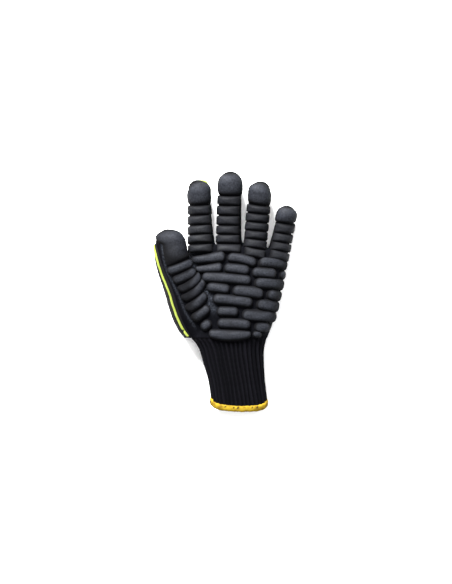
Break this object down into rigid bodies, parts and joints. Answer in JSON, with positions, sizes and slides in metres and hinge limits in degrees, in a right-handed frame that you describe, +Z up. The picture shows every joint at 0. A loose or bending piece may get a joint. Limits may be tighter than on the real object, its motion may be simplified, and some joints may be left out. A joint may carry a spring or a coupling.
{
  "type": "anti vibration glove",
  "caption": "Left-hand anti-vibration work glove lying palm up: ribbed knit liner with foam-rubber bar pads over the gripping side, a bound hem and thumb guard.",
  "frame": {"origin": "on the flat that the back of the hand rests on, under the middle of the palm", "axes": "+Z up out of the palm, +Y along the middle finger towards its tip, -X towards the thumb"},
  "size_m": [0.1508, 0.2524, 0.038],
  "materials": {
    "knit": "black fine-gauge knit",
    "rib_knit": "black rib knit",
    "hem_yarn": "golden yellow overlocked yarn",
    "foam_rubber": "matte dark slate grey foam rubber",
    "guard_rubber": "black moulded rubber",
    "lime_rubber": "satin lime moulded rubber"
  },
  "bodies": {
    "root": {"palm_shell": "knit", "thumb_stall": "knit", "index_stall": "knit", "middle_stall": "knit", "ring_stall": "knit", "little_stall": "knit", "cuff": "rib_knit", "hem": "hem_yarn", "thumb_pads": "foam_rubber", "index_pads": "foam_rubber", "middle_pads": "foam_rubber", "ring_pads": "foam_rubber", "little_pads": "foam_rubber", "palm_pad_01": "foam_rubber", "palm_pad_02": "foam_rubber", "palm_pad_03": "foam_rubber", "palm_pad_04": "foam_rubber", "palm_pad_05": "foam_rubber", "palm_pad_06": "foam_rubber", "palm_pad_07": "foam_rubber", "palm_pad_08": "foam_rubber", "palm_pad_09": "foam_rubber", "palm_pad_10": "foam_rubber", "palm_pad_11": "foam_rubber", "palm_pad_12": "foam_rubber", "palm_pad_13": "foam_rubber", "palm_pad_14": "foam_rubber", "palm_pad_15": "foam_rubber", "palm_pad_16": "foam_rubber", "palm_pad_17": "foam_rubber", "palm_pad_18": "foam_rubber", "palm_pad_19": "foam_rubber", "palm_pad_20": "foam_rubber", "thumb_guard": "guard_rubber", "thumb_stripe": "lime_rubber", "index_guard": "lime_rubber"}
  },
  "joints": []
}
